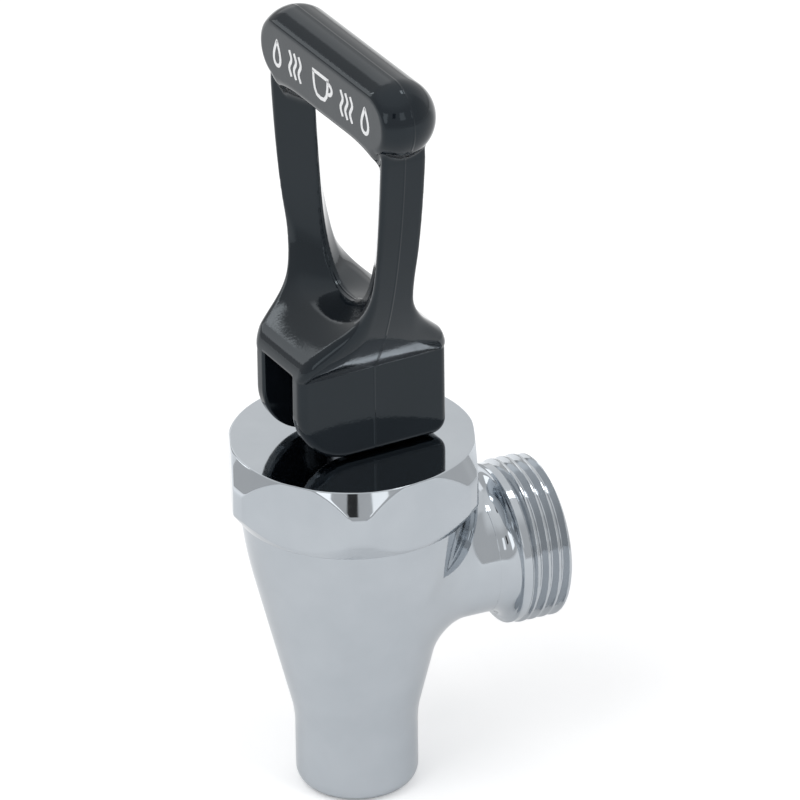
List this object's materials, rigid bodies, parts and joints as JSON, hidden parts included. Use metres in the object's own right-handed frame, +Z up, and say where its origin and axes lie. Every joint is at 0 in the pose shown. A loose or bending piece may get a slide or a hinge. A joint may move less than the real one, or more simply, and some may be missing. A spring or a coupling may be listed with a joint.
{
  "type": "water boiler tap",
  "caption": "Self-closing tap for a water boiler: a chromed tapered body with a threaded side inlet, a hexagon bonnet and a black lever with a grip bar.",
  "frame": {"origin": "middle of the spout's outlet, at the lowest point of the tap", "axes": "+Z up along the spout, barrel and stem, +Y along the inlet towards the boiler, +X to the right of a user who faces the tap"},
  "size_m": [0.0428, 0.0537, 0.1296],
  "materials": {
    "chromed_body": "polished chrome plate on brass",
    "chromed_bonnet": "polished chrome plate on brass",
    "silicone": "translucent white silicone",
    "spring_steel": "drawn stainless wire",
    "washer_steel": "stainless steel",
    "stem_brass": "turned brass",
    "pin_steel": "stainless steel",
    "black_plastic": null
  },
  "bodies": {
    "tap": {"body": "chromed_body", "bonnet": "chromed_bonnet", "seat_cup": "silicone", "spring": "spring_steel"},
    "lift": {"spring_washer": "washer_steel"},
    "stem": {"stem": "stem_brass", "handle_pin": "pin_steel"},
    "handle": {"handle": "black_plastic"}
  },
  "joints": [
    {"name": "stem_lift", "type": "slide", "parent": "tap", "child": "lift", "axis": [0, 0, 1], "range_m": [0, 0.00299], "deforming": ["spring", "seat_cup"]},
    {"name": "handle_swivel", "type": "hinge", "parent": "lift", "child": "stem", "pos_m": [0, 0, 0.0695], "axis": [0, 0, 1], "continuous": true},
    {"name": "handle_tilt", "type": "hinge", "parent": "stem", "child": "handle", "pos_m": [0, 0, 0.0695], "axis": [0.9971, 0.0767, 0], "range_deg": [0, 40], "stiffness_Nm_per_rad": 0.09, "springref_deg": -68.75}
  ],
  "couplings": [
    {"joint": "stem_lift", "follows": "handle_tilt", "m_per_rad": 0.00428}
  ]
}
